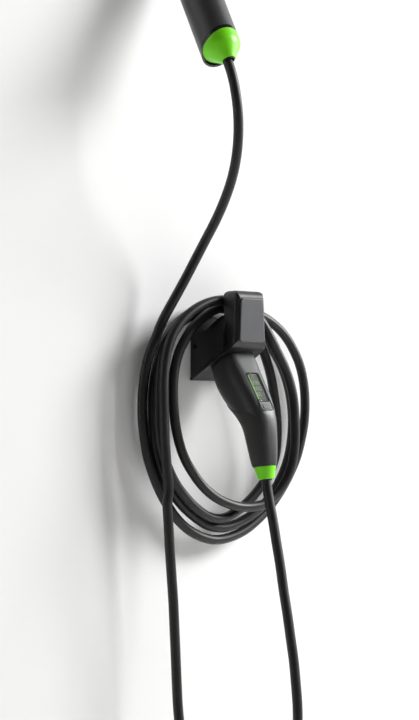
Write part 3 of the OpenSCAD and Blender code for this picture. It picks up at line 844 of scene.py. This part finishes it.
@dataclass
class Connector:
    """The docked connector: its split handle, grip, display, button and cable collar.

    Each station of the handle is its distance from the wall, height, half width, half
    depth and tilt. In the facet's frame +X is sideways, -Z runs down it and -Y out of it.
    """

    stations: tuple[tuple[float, ...], ...] = (
        (47.97, -13.62, 27.5, 27.5, 28), (54, -25, 28.5, 28.5, 28), (62.5, -40, 28.5, 28.5, 30),
        (75, -56, 27, 27.5, 34), (88.5, -71, 24, 25, 36), (98, -86, 21.3, 23, 26),
        (103.5, -102, 19.5, 20.5, 15), (107, -120, 18, 18.5, 9), (110, -137, 16.2, 16.5, 8.5),
        (112, -151, 14.6, 14.6, 8.5),
    )
    power: float = 2.5
    facet_tilt: float = 33.7
    facet_top: tuple[float, float] = (71.0, -4.6)
    soft_edge: float = 1.1
    wall: float = 2.5
    cover: float = 2.0
    window: tuple[float, float] = (20.0, 46.0)
    window_middle: float = 51.0
    button_middle: float = 81.0
    grip_proud: float = 1.1
    seat_bore: float = 22.1

    def facet(self) -> Matrix:
        """Return the facet's frame."""
        return local_frame((0, -self.facet_top[0], self.facet_top[1]), -self.facet_tilt)

    def bow(self, part: np.ndarray) -> np.ndarray:
        """Return a sine or cosine, bent towards the section's squarer outline."""
        return np.sign(part) * np.abs(part) ** (2 / self.power)

    def section(
        self, row: Sequence[float], turns: np.ndarray, grow: Any, level: float, soft: float
    ) -> np.ndarray:
        """Return one section of the handle.

        Args:
            row: The station.
            turns: The angles of its points; a quarter turn faces the display.
            grow: How far outside the handle's skin it lies, one number or one for each.
            level: Height of the flat face above the facet.
            soft: Roundness of the flat face's edge.

        Returns:
            Its points in millimetres.
        """
        depth, height, half, thick, tilt = row
        across = (half + grow) * self.bow(np.cos(turns))
        out = (thick + grow) * self.bow(np.sin(turns))
        angle, lean = math.radians(tilt), math.radians(self.facet_tilt)
        normal = np.array((math.cos(lean), math.sin(lean)))
        base = normal @ (np.array((depth, height)) - self.facet_top) - level
        slope = math.cos(angle - lean)
        above = base + out * slope
        clamped = -soft * np.logaddexp(0, -above / soft)
        out = (clamped - base) / slope
        return np.column_stack([across, -depth - out * math.cos(angle), height + out * math.sin(angle)])

    def rows(self, reach: float = 0.0) -> np.ndarray:
        """Return the interpolated stations, with both ends moved outwards by reach."""
        rows = np.array(self.stations, float)
        for i, go in ((0, -reach), (-1, reach)):
            tilt = math.radians(rows[i, 4])
            rows[i, :2] += go * math.sin(tilt), -go * math.cos(tilt)
        return spline(rows[:, [0, 1, 4, 2, 3]], 14)[:, [0, 1, 3, 4, 2]]

    def form(self, name: str, grow: float = 0.0, reach: float = 0.0, level: float = 0.0,
             soft: float | None = None) -> bpy.types.Object:
        """Make the handle's whole form.

        Args:
            name: The object's name.
            grow: How far outside the skin it lies.
            reach: How much longer it is at both ends.
            level: Height of its flat face above the facet.
            soft: Roundness of the flat face's edge, or None for the usual.

        Returns:
            The form.
        """
        turns = 2 * math.pi * (np.arange(112) + 0.5) / 112
        edge = self.soft_edge if soft is None else soft
        return piece(name, loft([self.section(r, turns, grow, level, edge) for r in self.rows(reach)]))

    def block(self, low: float, high: float) -> bpy.types.Object:
        """Make a block over the whole facet, between two heights above it."""
        return piece("block", slab(200, 400, 0, low, high, 0), self.facet())

    def build(self) -> None:
        """Build every piece of the connector."""
        self.build_shells()
        self.build_cover()
        self.build_grip()
        self.build_window()
        self.build_button()
        self.build_collar()

    def build_shells(self) -> None:
        """Build the two halves of the hollow handle."""
        whole = self.form("whole")
        carve(whole, self.form("inside", -self.wall, 2.0, -self.cover - self.wall, 0.3), Cut.REMOVE)
        carve(whole, self.block(-self.cover, 60), Cut.REMOVE)
        drill(whole, self.seat_bore, -6, 60, Holster().dock())
        width, length = self.window
        for shape in (slab(width + 2, length + 2, 1, -20, 1, self.window_middle),
                      slab(9.4, 5.4, 0.8, -20, 1, self.button_middle)):
            carve(whole, piece("deck", shape, self.facet()), Cut.REMOVE)
        for side in Side:
            made = whole.copy()
            made.data = whole.data.copy()
            hand = side.name.lower()
            made.name = f"handle_half_{hand}"
            bpy.context.scene.collection.objects.link(made)
            low, high = sorted((side.value * 0.12, side.value * 60))
            half = fillet([(0, -200, 0), (200, -200, 0), (200, 60, 0), (0, 60, 0)])
            carve(made, piece("half", prism(half, "yz", low, high)), Cut.KEEP)
            dress(smooth(made), SHELL_PC, Body.CONNECTOR, "shell_plastic", f"handle_shell_{hand}")
        bpy.data.objects.remove(whole)

    def build_cover(self) -> None:
        """Build the display cover, which closes the facet."""
        made = self.form("display_cover_plate")
        carve(made, self.block(-self.cover + 0.02, 60), Cut.KEEP)
        width, length = self.window
        for shape in (slab(width, length, 3.2, -20, 5, self.window_middle),
                      slab(12.4, 7.4, 1.8, -20, 5, self.button_middle)):
            carve(made, piece("opening", shape, self.facet()), Cut.REMOVE)
        dress(smooth(made), COVER_PC, Body.CONNECTOR, "cover_plastic", "display_cover")

    def build_grip(self) -> None:
        """Build the rubber grip, which wraps the handle's rear and flows to its sides."""
        rows = self.rows()
        rows = rows[rows[:, 1] < -52]
        rings = []
        for k, row in enumerate(rows):
            t = k / (len(rows) - 1)
            rise = min(1.0, t / 0.42)
            front = math.radians(-60 + 104 * rise**1.3 - 6 * t)
            ends = min(1.0, 8 * t, 8 * (1 - t))
            turns = np.linspace(math.pi - front, 2 * math.pi + front, 81)
            edge = np.clip(np.minimum(np.arange(81), np.arange(81)[::-1]) / 7, 0, 1)
            proud = -0.25 + (self.grip_proud + 0.25) * np.sqrt(1 - (1 - edge * ends) ** 2)
            outer = self.section(row, turns, proud, 9, 0.5)
            inner = self.section(row, turns[::-1], -0.5, 9, 0.5)
            rings.append(np.vstack([outer, inner]))
        made = piece("grip_sleeve", loft(rings))
        dress(smooth(made, angle=50), GRIP_TPE, Body.CONNECTOR, "grip_rubber", "grip_overmould")

    def build_window(self) -> None:
        """Build the lens, its black frame, the light guide and the display's figures."""
        width, length = self.window
        mid, at = self.window_middle, self.facet()
        lens = piece("display_window", slab(width - 2.4, length - 2.4, 2.2, -2, -0.35, mid), at)
        dress(smooth(lens, 0.25), WINDOW_PMMA, Body.CONNECTOR, "lens_clear", "display_lens")
        long, low_mid = length + 13.2, mid + 6.6
        frame_ring = piece("window_frame", slab(width + 1.6, long, 3.6, -0.5, 0.22, low_mid), at)
        carve(frame_ring, piece("hole", slab(width - 0.4, long - 2.0, 2.8, -5, 5, low_mid), at), Cut.REMOVE)
        dress(smooth(frame_ring, 0.2), TRIM_ABS, Body.CONNECTOR, "button_plastic")
        shape = slab(1.3, length - 9, 0.6, -1.2, 0.4, mid)
        guide = piece("light_guide", shape, at @ Matrix.Translation((-(width / 2 - 0.9) * MM, 0, 0)))
        dress(smooth(guide, 0.2), LIGHT_GUIDE, Body.CONNECTOR, "green_plastic")
        figures = SegmentFigures(at).build()
        dress(figures, LCD_SEGMENT, Body.CONNECTOR, "display_panel")

    def build_button(self) -> None:
        """Build the push button with its stem."""
        cap = piece("push_button_cap", slab(12, 7, 1.6, -0.8, 0.15, self.button_middle), self.facet())
        stem = slab(8, 4, 0.8, -3.85, -0.6, self.button_middle)
        carve(cap, piece("stem", stem, self.facet()), Cut.ADD)
        dress(smooth(cap, 0.3), COVER_PC, Body.BUTTON, "button_plastic", "push_button")

    def build_collar(self) -> None:
        """Build the lime collar round the cable's exit."""
        profile = [(0, -6), (11.1, -6), (11.1, 0), (14.2, 0), (14.55, 0.3), (14.5, 1.0), (12.3, 9.0),
                   (10.6, 15.3), (10.35, 16.1), (9.8, 16.5), (0, 16.5)]
        at = local_frame((0, -112, -151), 171.5)
        made = piece("cable_collar", lathe(profile), at)
        drill(made, CABLE_BORE, -20, 30, at)
        dress(smooth(made), GREEN_ABS, Body.CONNECTOR, "green_plastic", "handle_collar")


@dataclass
class SegmentFigures:
    """Generic seven-segment figures on the display, placed by geometry nodes."""

    at: Matrix
    pitch: float = 4.2
    high: float = 5.0
    bar: float = 0.5
    level: float = -2.72

    def places(self) -> list[tuple[float, float, bool]]:
        """Return each lit bar's place on the facet and whether it stands upright."""
        out = []
        for row, count in ((43.0, 3), (52.0, 3), (61.0, 2)):
            for k in range(count):
                x = (k - 1) * self.pitch
                half = self.high / 2
                out += [(x, row - half, False), (x, row + half, False)]
                out += [(x + s * 1.35, row + t * half / 2, True) for s in (-1, 1) for t in (-1, 1)]
        return out

    def build(self) -> bpy.types.Object:
        """Put a bar on each place and return the result as a plain mesh."""
        places = self.places()
        mesh = bpy.data.meshes.new("figures")
        mesh.from_pydata([(x * MM, -self.level * MM, -z * MM) for x, z, _ in places], [], [])
        turn = mesh.attributes.new("upright", "FLOAT", "POINT")
        turn.data.foreach_set("value", [math.pi / 2 if up else 0.0 for _, _, up in places])
        made = bpy.data.objects.new("display_figures", mesh)
        bpy.context.scene.collection.objects.link(made)
        tree = self.tree()
        change = made.modifiers.new("figures", "NODES")
        change.node_group = tree
        sizes = {"Bar length": 2.1 * MM, "Bar width": self.bar * MM, "Bar height": 0.06 * MM}
        for item in tree.interface.items_tree:
            if getattr(item, "in_out", "") == "INPUT" and item.name in sizes:
                change[item.identifier] = sizes[item.name]
        apply_modifiers(made)
        made.data.transform(self.at)
        return made

    def tree(self) -> bpy.types.NodeTree:
        """Build the node tree that sets a bar on every point."""
        tree = bpy.data.node_groups.new("segment_bars", "GeometryNodeTree")
        tree.interface.new_socket("Geometry", in_out="INPUT", socket_type="NodeSocketGeometry")
        for name in ("Bar length", "Bar width", "Bar height"):
            tree.interface.new_socket(name, in_out="INPUT", socket_type="NodeSocketFloat")
        tree.interface.new_socket("Geometry", in_out="OUTPUT", socket_type="NodeSocketGeometry")
        given = add_node(tree, "NodeGroupInput").outputs
        size = add_node(tree, "ShaderNodeCombineXYZ", {0: given[1], 1: given[3], 2: given[2]})
        bar = add_node(tree, "GeometryNodeMeshCube", {"Size": size.outputs[0]})
        upright = add_node(tree, "GeometryNodeInputNamedAttribute", {"Name": "upright"}, data_type="FLOAT")
        turn = add_node(tree, "ShaderNodeCombineXYZ", {1: upright.outputs[0]})
        placed = add_node(
            tree,
            "GeometryNodeInstanceOnPoints",
            {"Points": given[0], "Instance": bar.outputs[0], "Rotation": turn.outputs[0]},
        )
        real = add_node(tree, "GeometryNodeRealizeInstances", {0: placed.outputs[0]})
        lamp = LCD_SEGMENT.material()
        lit = add_node(tree, "GeometryNodeSetMaterial", {0: real.outputs[0], "Material": lamp})
        add_node(tree, "NodeGroupOutput", {0: lit.outputs[0]})
        return tree


# ---- the supply plug -------------------------------------------------------------------


@dataclass
class SupplyPlug:
    """The plug on the cable's far end: a round barrel, its black end ring and a lime cone."""

    seat: Point = (-77.0, -52.0, 503.0)
    tilt: float = 28.0
    radius: float = 27.0
    wall: float = 2.5
    joint_front: float = 119.0
    joint_back: float = 142.0
    ring: float = 4.5
    mouth_offset: float = -6.0

    def frame(self) -> Matrix:
        """Return the plug's frame, with +Z towards its nose."""
        return local_frame(self.seat, -self.tilt)

    def below(self, lift: float) -> bpy.types.Object:
        """Make the block from lift above the sloping joint down past the cone."""
        slope = math.degrees(math.atan((self.joint_back - self.joint_front) / (2 * self.radius)))
        at = self.frame() @ local_frame((0, -self.radius, -self.joint_front), -slope)
        outline = fillet([(-100, -100, 0), (100, -100, 0), (100, 100, 0), (-100, 100, 0)])
        return piece("below", prism(outline, "xy", -FAR, lift), at)

    def tube(self, name: str) -> bpy.types.Object:
        """Make the hollow barrel in one piece, down past the joint."""
        r, inner = self.radius, self.radius - self.wall
        made = piece(name, lathe([(0, -1), (r - 0.5, -1), (r, -1.5), (r, -150), (0, -150)]), self.frame())
        drill(made, inner, -200, 20, self.frame())
        return made

    def build(self) -> list[bpy.types.Object]:
        """Build the barrel's halves, the end ring and the cone.

        Returns:
            The new pieces.
        """
        out = []
        for side in Side:
            made = self.tube(f"plug_half_{side.name.lower()}")
            carve(made, self.below(self.ring + 0.4), Cut.REMOVE)
            low, high = sorted((0.0, side.value * 60.0))
            half = fillet([(-60, 250, 0), (260, 250, 0), (260, 620, 0), (-60, 620, 0)])
            carve(made, piece("half", prism(half, "yz", low + self.seat[0], high + self.seat[0])), Cut.KEEP)
            name = f"plug_shell_{side.name.lower()}"
            out.append(dress(smooth(made), SHELL_PC, Body.HOLSTER, "shell_plastic", name))
        ring = self.tube("plug_end_ring")
        carve(ring, self.below(self.ring), Cut.KEEP)
        carve(ring, self.below(0.3), Cut.REMOVE)
        out.append(dress(smooth(ring, 0.35), TRIM_ABS, Body.HOLSTER, "button_plastic"))
        out.append(self.build_cone())
        return out

    def build_cone(self) -> bpy.types.Object:
        """Build the lime end cone, whose mouth lies off the barrel's axis."""
        rows = np.array([(-104, 27, 0), (-126, 27, 0), (-132, 26.7, 0), (-137, 24.3, -0.8),
                         (-143, 19.2, -2.6), (-149, 14.0, -4.3), (-153.4, 10.4, -5.6),
                         (-155, 9.1, -6.0)], float)
        turns = 2 * math.pi * np.arange(96) / 96
        forms = []
        for name, shrink in (("plug_end_cone_shell", 0.0), ("inside", self.wall)):
            rings = []
            for z, r, y in spline(rows, 8):
                across, out = (r - shrink) * np.cos(turns), y + (r - shrink) * np.sin(turns)
                rings.append(np.column_stack([across, out, np.full(96, z + shrink)]))
            forms.append(piece(name, loft(rings), self.frame()))
        made, inside = forms
        carve(made, self.below(0.0), Cut.KEEP)
        carve(made, inside, Cut.REMOVE)
        hole = self.frame() @ Matrix.Translation((0, self.mouth_offset * MM, 0))
        drill(made, CABLE_BORE, -170, -90, hole)
        return dress(smooth(made), GREEN_ABS, Body.HOLSTER, "green_plastic", "plug_end_cone")


# ---- pieces that keep their CAD shape --------------------------------------------------

CARRIED: dict[str, Finish] = {
    "wall_plate": PLATE_STEEL,
    "dock_sleeve": BODY_NYLON,
    "dock_grip_ring": SEAL_RUBBER,
    "front_screws": SCREW_BLACK,
    "side_screws": SCREW_BLACK,
    "plug_nose": NOSE_PA,
    "plug_pin_carrier": NOSE_PA,
    "plug_power_pins": SILVER,
    "plug_pilot_pins": SILVER,
    "plug_gasket": SEAL_RUBBER,
    "plug_strain_relief": SEAL_RUBBER,
    "plug_clamp": CLAMP_NYLON,
    "plug_clamp_screws": SCREW_ZINC,
    "plug_shell_screws": SCREW_BLACK,
    "display_gasket": SEAL_RUBBER,
    "display_module": LCD_PANEL,
    "display_board": BOARD_FR4,
    "button_switch": TRIM_ABS,
    "connector_nose": NOSE_PA,
    "contact_carrier": NOSE_PA,
    "power_contacts": SILVER,
    "pilot_contacts": SILVER,
    "nose_gasket": SEAL_RUBBER,
    "strain_relief": SEAL_RUBBER,
    "cable_clamp": CLAMP_NYLON,
    "clamp_screws": SCREW_ZINC,
    "shell_screws": SCREW_BLACK,
}


def finish_carried() -> None:
    """Give every CAD node that keeps its shape its own finish."""
    for name, finish in CARRIED.items():
        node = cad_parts[name]
        if not node.material_slots:
            node.data.materials.append(None)
        for holder in node.material_slots:
            holder.material = finish.material()
        LOG.info("%s keeps its shape, in %s", name, finish.name)


# ---- studio ----------------------------------------------------------------------------


@dataclass
class Studio:
    """A white wall, a pale floor, soft light from the upper right, and the camera."""

    azimuth: float = -40.0
    elevation: float = -2.0
    distance: float = 2.5
    lens: float = 92.59
    target: Point = (0.0, 0.0, -0.009)
    floor: float = -1.25
    wall: float = 0.0006

    def camera(self) -> None:
        """Set up the camera."""
        a, e = math.radians(self.azimuth), math.radians(self.elevation)
        back = Vector((math.sin(a) * math.cos(e), -math.cos(a) * math.cos(e), math.sin(e)))
        data = bpy.data.cameras.new("camera")
        data.lens, data.sensor_width, data.sensor_fit = self.lens, 36.0, "AUTO"
        made = bpy.data.objects.new("camera", data)
        made.location = Vector(self.target) + self.distance * back
        made.rotation_euler = (-back).to_track_quat("-Z", "Y").to_euler()
        bpy.context.scene.collection.objects.link(made)
        bpy.context.scene.camera = made

    def surface(self, name: str, hex_colour: str, corners: Sequence[Point], one_sided: bool) -> None:
        """Make a staged surface.

        Args:
            name: Its name.
            hex_colour: Its colour.
            corners: Its corners in metres.
            one_sided: Whether it is unseen from behind.
        """
        mesh = bpy.data.meshes.new(name)
        mesh.from_pydata(corners, [], [(0, 1, 2, 3)])
        made = bpy.data.objects.new(name, mesh)
        paint = bpy.data.materials.new(f"{name}_paint")
        paint.use_nodes = True
        tree = paint.node_tree
        tree.nodes.clear()
        front = add_node(tree, "ShaderNodeBsdfDiffuse", {"Color": linear(hex_colour)}).outputs[0]
        if one_sided:
            behind = add_node(tree, "ShaderNodeNewGeometry").outputs["Backfacing"]
            clear = add_node(tree, "ShaderNodeBsdfTransparent").outputs[0]
            front = add_node(tree, "ShaderNodeMixShader", {0: behind, 1: front, 2: clear}).outputs[0]
        add_node(tree, "ShaderNodeOutputMaterial", {0: front})
        mesh.materials.append(paint)
        bpy.context.scene.collection.objects.link(made)

    def light(self, name: str, place: Point, size: float, power: float) -> None:
        """Hang a soft area light that points at the holster."""
        data = bpy.data.lights.new(name, "AREA")
        data.energy, data.size = power, size
        made = bpy.data.objects.new(name, data)
        made.location = place
        made.rotation_euler = (Vector(self.target) - Vector(place)).to_track_quat("-Z", "Y").to_euler()
        bpy.context.scene.collection.objects.link(made)

    def build(self) -> None:
        """Set up the surfaces and the lights."""
        low, back = self.floor, self.wall
        self.surface("wall", "#f4f4f4", [(-4, back, low), (4, back, low), (4, back, 3), (-4, back, 3)], True)
        self.surface("floor", "#e9e8e6", [(-4, -5, low), (4, -5, low), (4, 3, low), (-4, 3, low)], False)
        self.light("key", (4.0, -2.6, 2.5), 2.2, 430.0)
        self.light("rim", (2.2, -0.55, 0.5), 0.7, 14.0)
        bpy.context.scene.view_settings.view_transform = "Standard"
        world = bpy.data.worlds.new("studio")
        world.use_nodes = True
        sky = world.node_tree.nodes["Background"]
        sky.inputs[0].default_value, sky.inputs[1].default_value = linear("#f6f7f8"), 0.12
        bpy.context.scene.world = world


def main() -> None:
    """Build the studio, then the object from the wall outwards."""
    logging.basicConfig(level=logging.INFO, format="%(name)s: %(message)s")
    studio = Studio()
    studio.camera()
    cable = Cable()
    jacket = cable.build()
    plug_pieces = SupplyPlug().build()
    Holster().build()
    Connector().build()
    finish_carried()
    studio.build()


if __name__ == "__main__":
    main()
